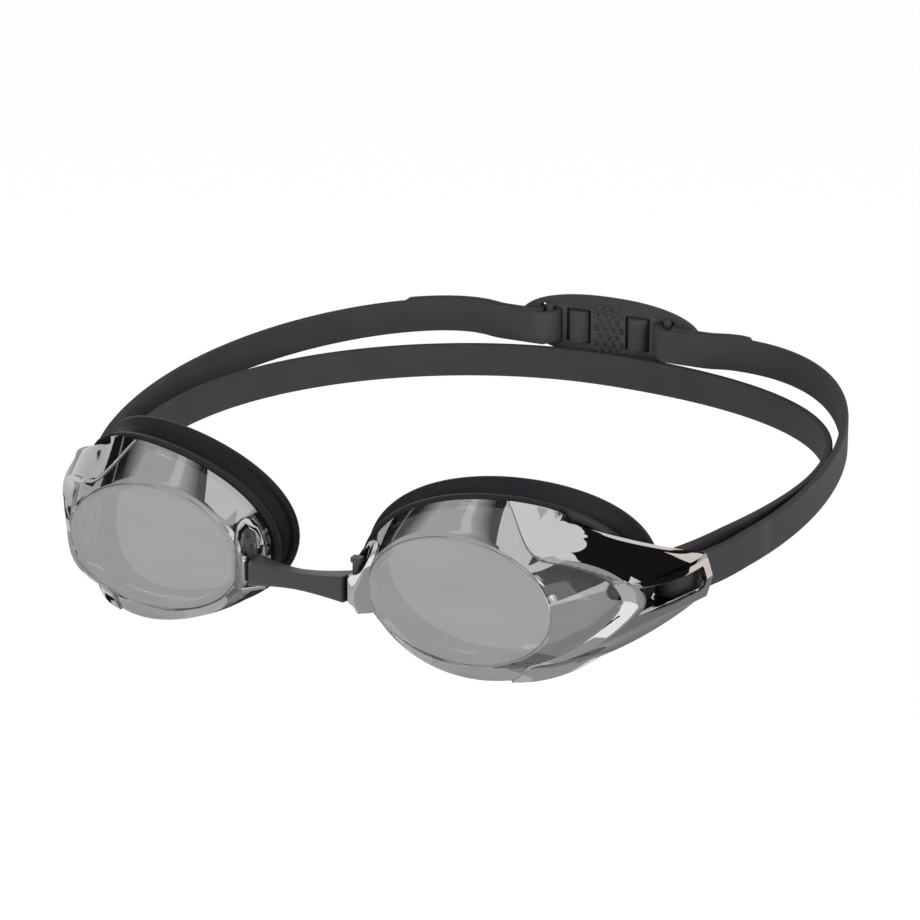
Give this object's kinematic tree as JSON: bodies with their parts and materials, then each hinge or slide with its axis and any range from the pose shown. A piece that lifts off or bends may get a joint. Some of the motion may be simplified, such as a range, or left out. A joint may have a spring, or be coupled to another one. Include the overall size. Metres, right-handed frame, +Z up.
{
  "type": "swim goggles",
  "caption": "Swim goggles with mirrored oval eyecups on soft face gaskets, a hooked nose bridge, strap arms and a divided head strap that adjusts at a back clip.",
  "frame": {"origin": "between the eyes, where the two gaskets meet the wearer's face", "axes": "the wearer looks along -Y, +X is the wearer's left, +Z up"},
  "size_m": [0.1545, 0.1593, 0.0394],
  "materials": {
    "lens": "smoked polycarbonate with a silver mirror coating",
    "arm": "chromed plastic",
    "gasket": "satin silicone",
    "bridge": "satin",
    "strap": "matte silicone",
    "clip": "matte"
  },
  "bodies": {
    "bridge": {"nose_bridge": "bridge"},
    "left_eyecup": {"left_lens": "lens", "left_gasket": "gasket", "left_strap_arm": "arm", "left_strap_loop": "strap"},
    "right_eyecup": {"right_lens": "lens", "right_gasket": "gasket", "right_strap_arm": "arm", "right_strap_loop": "strap"},
    "upper_strand": {"left_upper_strap": "strap", "right_upper_strap": "strap", "back_clip": "clip"},
    "lower_strand": {"lower_strap": "strap"},
    "left_tail": {"left_strap_tail": "strap"},
    "right_tail": {"right_strap_tail": "strap"}
  },
  "joints": [
    {"name": "left_eyecup_pivot", "type": "hinge", "parent": "bridge", "child": "left_eyecup", "pos_m": [0.0124, -0.0118, 0], "axis": [0, 0, 1], "range_deg": [-8, 10], "deforming": ["left_upper_strap", "lower_strap"]},
    {"name": "right_eyecup_pivot", "type": "hinge", "parent": "bridge", "child": "right_eyecup", "pos_m": [-0.0124, -0.0118, 0], "axis": [0, 0, -1], "range_deg": [-8, 10], "deforming": ["right_upper_strap", "lower_strap"]},
    {"name": "upper_strap_swing", "type": "hinge", "parent": "bridge", "child": "upper_strand", "pos_m": [0, 0.02132, -0.0004], "axis": [1, 0, 0], "range_deg": [0, 25]},
    {"name": "lower_strap_swing", "type": "hinge", "parent": "bridge", "child": "lower_strand", "pos_m": [0, 0.02132, -0.0004], "axis": [-1, 0, 0], "range_deg": [0, 20]},
    {"name": "left_tail_slide", "type": "slide", "parent": "upper_strand", "child": "left_tail", "axis": [1, 0, 0], "range_m": [0, 0.012]},
    {"name": "right_tail_slide", "type": "slide", "parent": "upper_strand", "child": "right_tail", "axis": [-1, 0, 0], "range_m": [0, 0.012]}
  ]
}
